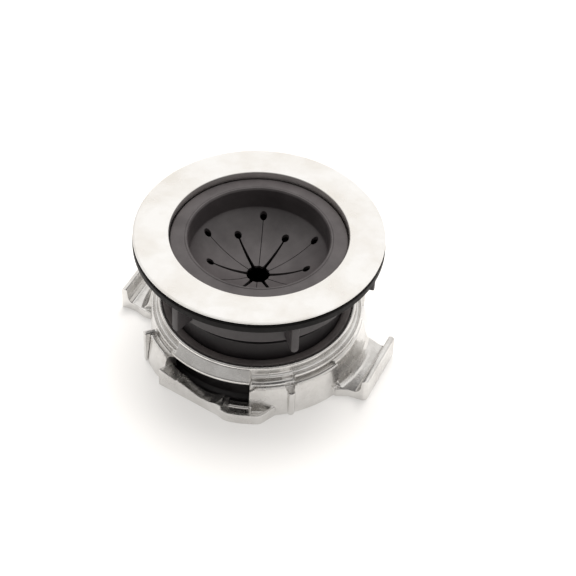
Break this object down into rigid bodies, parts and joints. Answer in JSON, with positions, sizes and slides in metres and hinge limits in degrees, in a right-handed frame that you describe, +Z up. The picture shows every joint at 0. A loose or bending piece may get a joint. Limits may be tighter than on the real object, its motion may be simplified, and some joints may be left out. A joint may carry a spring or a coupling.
{
  "type": "garbage disposal sink flange mount",
  "caption": "Sink flange mount that hangs a kitchen garbage disposal: steel flange, lift-out splash guard, screw clamp, rubber cushion and turning bayonet ring.",
  "frame": {"origin": "on the common axis, at the face of the mounting ring that the assembly stands on", "axes": "+Z up towards the sink; +X through one lug of the mounting ring; +Y through one window"},
  "size_m": [0.1292, 0.1146, 0.065],
  "materials": {
    "polished_steel": "polished, fine circular lathe lines",
    "black_plastic": "moulded, satin",
    "grey_plastic": "moulded, matte",
    "black_fibre": "pressed, matte",
    "gasket_rubber": "matte",
    "cushion_rubber": "matte",
    "guard_rubber": "satin moulded rubber",
    "cast_aluminium": "die-cast, tumbled, fine grain"
  },
  "bodies": {
    "sleeve_body": {"sink_flange": "polished_steel", "threaded_sleeve": "black_plastic", "sink_gasket": "gasket_rubber", "cushion_mount": "cushion_rubber"},
    "disc_body": {"support_disc": "black_fibre"},
    "nut_body": {"clamp_nut": "grey_plastic"},
    "ring_body": {"mounting_ring": "cast_aluminium"},
    "guard_body": {"splash_guard": "guard_rubber"},
    "flap_01_body": {"splash_flap_01": "guard_rubber"},
    "flap_02_body": {"splash_flap_02": "guard_rubber"},
    "flap_03_body": {"splash_flap_03": "guard_rubber"},
    "flap_04_body": {"splash_flap_04": "guard_rubber"},
    "flap_05_body": {"splash_flap_05": "guard_rubber"},
    "flap_06_body": {"splash_flap_06": "guard_rubber"},
    "flap_07_body": {"splash_flap_07": "guard_rubber"},
    "flap_08_body": {"splash_flap_08": "guard_rubber"},
    "flap_09_body": {"splash_flap_09": "guard_rubber"},
    "flap_10_body": {"splash_flap_10": "guard_rubber"},
    "flap_11_body": {"splash_flap_11": "guard_rubber"},
    "flap_12_body": {"splash_flap_12": "guard_rubber"}
  },
  "joints": [
    {"name": "disc_slide", "type": "slide", "parent": "sleeve_body", "child": "disc_body", "axis": [0, 0, -1], "range_m": [0, 0.015]},
    {"name": "nut_turn", "type": "hinge", "parent": "disc_body", "child": "nut_body", "pos_m": [0, 0, 0.05], "axis": [0, 0, -1], "range_deg": [0, 1800]},
    {"name": "ring_turn", "type": "hinge", "parent": "sleeve_body", "child": "ring_body", "pos_m": [0, 0, 0.018], "axis": [0, 0, 1], "continuous": true},
    {"name": "guard_lift", "type": "slide", "parent": "sleeve_body", "child": "guard_body", "axis": [0, 0, 1], "range_m": [0, 0.045]},
    {"name": "flap_01_bend", "type": "hinge", "parent": "guard_body", "child": "flap_01_body", "pos_m": [0.01942, 0.01411, 0.04252], "axis": [0.5878, -0.809, 0], "range_deg": [0, 60], "stiffness_Nm_per_rad": 0.006},
    {"name": "flap_02_bend", "type": "hinge", "parent": "guard_body", "child": "flap_02_body", "pos_m": [0.00976, 0.02193, 0.04252], "axis": [0.9135, -0.4067, 0], "range_deg": [0, 60], "stiffness_Nm_per_rad": 0.006},
    {"name": "flap_03_bend", "type": "hinge", "parent": "guard_body", "child": "flap_03_body", "pos_m": [-0.00251, 0.02387, 0.04252], "axis": [0.9945, 0.1045, 0], "range_deg": [0, 60], "stiffness_Nm_per_rad": 0.006},
    {"name": "flap_04_bend", "type": "hinge", "parent": "guard_body", "child": "flap_04_body", "pos_m": [-0.01411, 0.01942, 0.04252], "axis": [0.809, 0.5878, 0], "range_deg": [0, 60], "stiffness_Nm_per_rad": 0.006},
    {"name": "flap_05_bend", "type": "hinge", "parent": "guard_body", "child": "flap_05_body", "pos_m": [-0.02193, 0.00976, 0.04252], "axis": [0.4067, 0.9135, 0], "range_deg": [0, 60], "stiffness_Nm_per_rad": 0.006},
    {"name": "flap_06_bend", "type": "hinge", "parent": "guard_body", "child": "flap_06_body", "pos_m": [-0.02387, -0.00251, 0.04252], "axis": [-0.1045, 0.9945, 0], "range_deg": [0, 60], "stiffness_Nm_per_rad": 0.006},
    {"name": "flap_07_bend", "type": "hinge", "parent": "guard_body", "child": "flap_07_body", "pos_m": [-0.01942, -0.01411, 0.04252], "axis": [-0.5878, 0.809, 0], "range_deg": [0, 60], "stiffness_Nm_per_rad": 0.006},
    {"name": "flap_08_bend", "type": "hinge", "parent": "guard_body", "child": "flap_08_body", "pos_m": [-0.00976, -0.02193, 0.04252], "axis": [-0.9135, 0.4067, 0], "range_deg": [0, 60], "stiffness_Nm_per_rad": 0.006},
    {"name": "flap_09_bend", "type": "hinge", "parent": "guard_body", "child": "flap_09_body", "pos_m": [0.00251, -0.02387, 0.04252], "axis": [-0.9945, -0.1045, 0], "range_deg": [0, 60], "stiffness_Nm_per_rad": 0.006},
    {"name": "flap_10_bend", "type": "hinge", "parent": "guard_body", "child": "flap_10_body", "pos_m": [0.01411, -0.01942, 0.04252], "axis": [-0.809, -0.5878, 0], "range_deg": [0, 60], "stiffness_Nm_per_rad": 0.006},
    {"name": "flap_11_bend", "type": "hinge", "parent": "guard_body", "child": "flap_11_body", "pos_m": [0.02193, -0.00976, 0.04252], "axis": [-0.4067, -0.9135, 0], "range_deg": [0, 60], "stiffness_Nm_per_rad": 0.006},
    {"name": "flap_12_bend", "type": "hinge", "parent": "guard_body", "child": "flap_12_body", "pos_m": [0.02387, 0.00251, 0.04252], "axis": [0.1045, -0.9945, 0], "range_deg": [0, 60], "stiffness_Nm_per_rad": 0.006}
  ],
  "couplings": [
    {"joint": "disc_slide", "follows": "nut_turn", "m_per_rad": 0.00047746}
  ]
}
